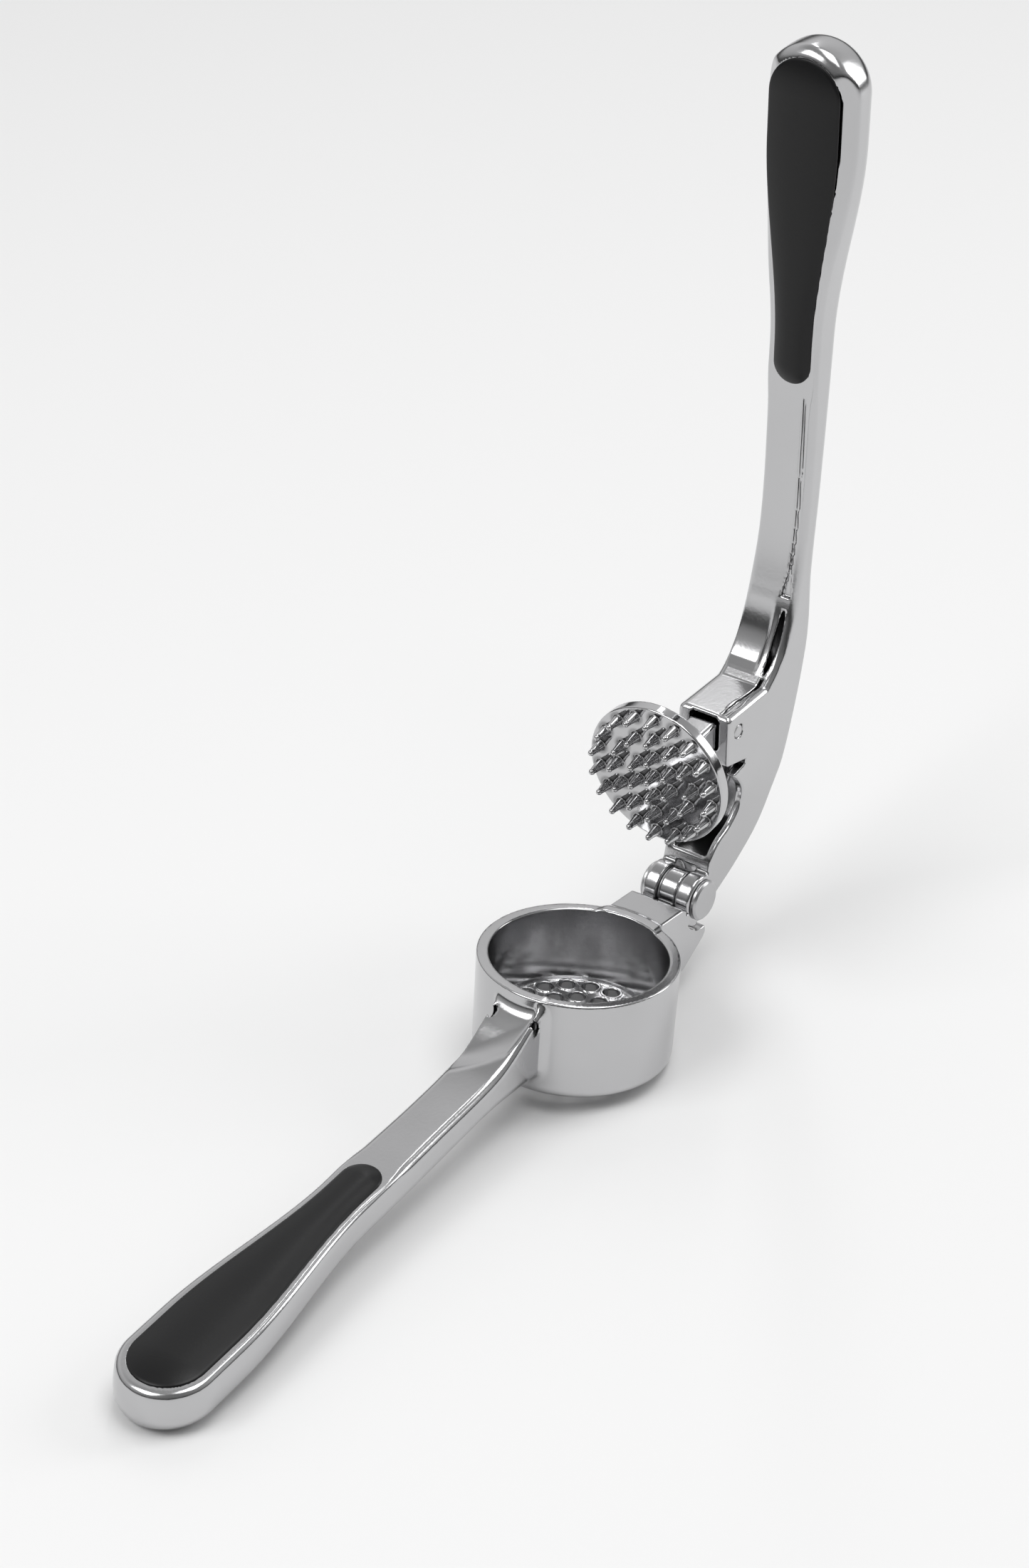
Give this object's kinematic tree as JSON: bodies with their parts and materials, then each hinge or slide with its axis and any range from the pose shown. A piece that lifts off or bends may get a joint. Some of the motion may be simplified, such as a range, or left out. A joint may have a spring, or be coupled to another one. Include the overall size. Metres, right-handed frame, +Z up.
{
  "type": "garlic press",
  "caption": "Cast metal garlic press, open, with a round perforated cup, a pegged plunger on a cross pin, and two handles with dark teardrop grip inlays.",
  "frame": {"origin": "on the table, under the middle of the press's bounding box", "axes": "+Z up as it stands, -X along the lower handle, +X towards the hinge, symmetric about the XZ plane"},
  "size_m": [0.2325, 0.0426, 0.1976],
  "materials": {
    "plated_casting": "polished plating on a casting",
    "sieve_steel": "polished, soft edges round the holes",
    "pin_steel": "satin turned faces",
    "washer_steel": "satin",
    "grip_rubber": "satin, fine grain"
  },
  "bodies": {
    "hopper": {"hopper_handle": "plated_casting", "sieve_plate": "sieve_steel", "lower_inlay": "grip_rubber", "hinge_pin": "pin_steel", "hinge_cap": "pin_steel", "hinge_washers": "washer_steel"},
    "press": {"press_handle": "plated_casting", "upper_inlay": "grip_rubber", "plunger_pin": "pin_steel"},
    "plunger": {"plunger": "plated_casting"}
  },
  "joints": [
    {"name": "press_hinge", "type": "hinge", "parent": "hopper", "child": "press", "pos_m": [0.06547, 0, 0.01941], "axis": [0, -1, 0], "range_deg": [0, 90.7]},
    {"name": "plunger_pivot", "type": "hinge", "parent": "press", "child": "plunger", "pos_m": [0.07767, 0, 0.05563], "axis": [0, -1, 0], "range_deg": [-11.1, 0]}
  ],
  "couplings": [
    {"joint": "plunger_pivot", "follows": "press_hinge", "ratio": -0.12128}
  ]
}
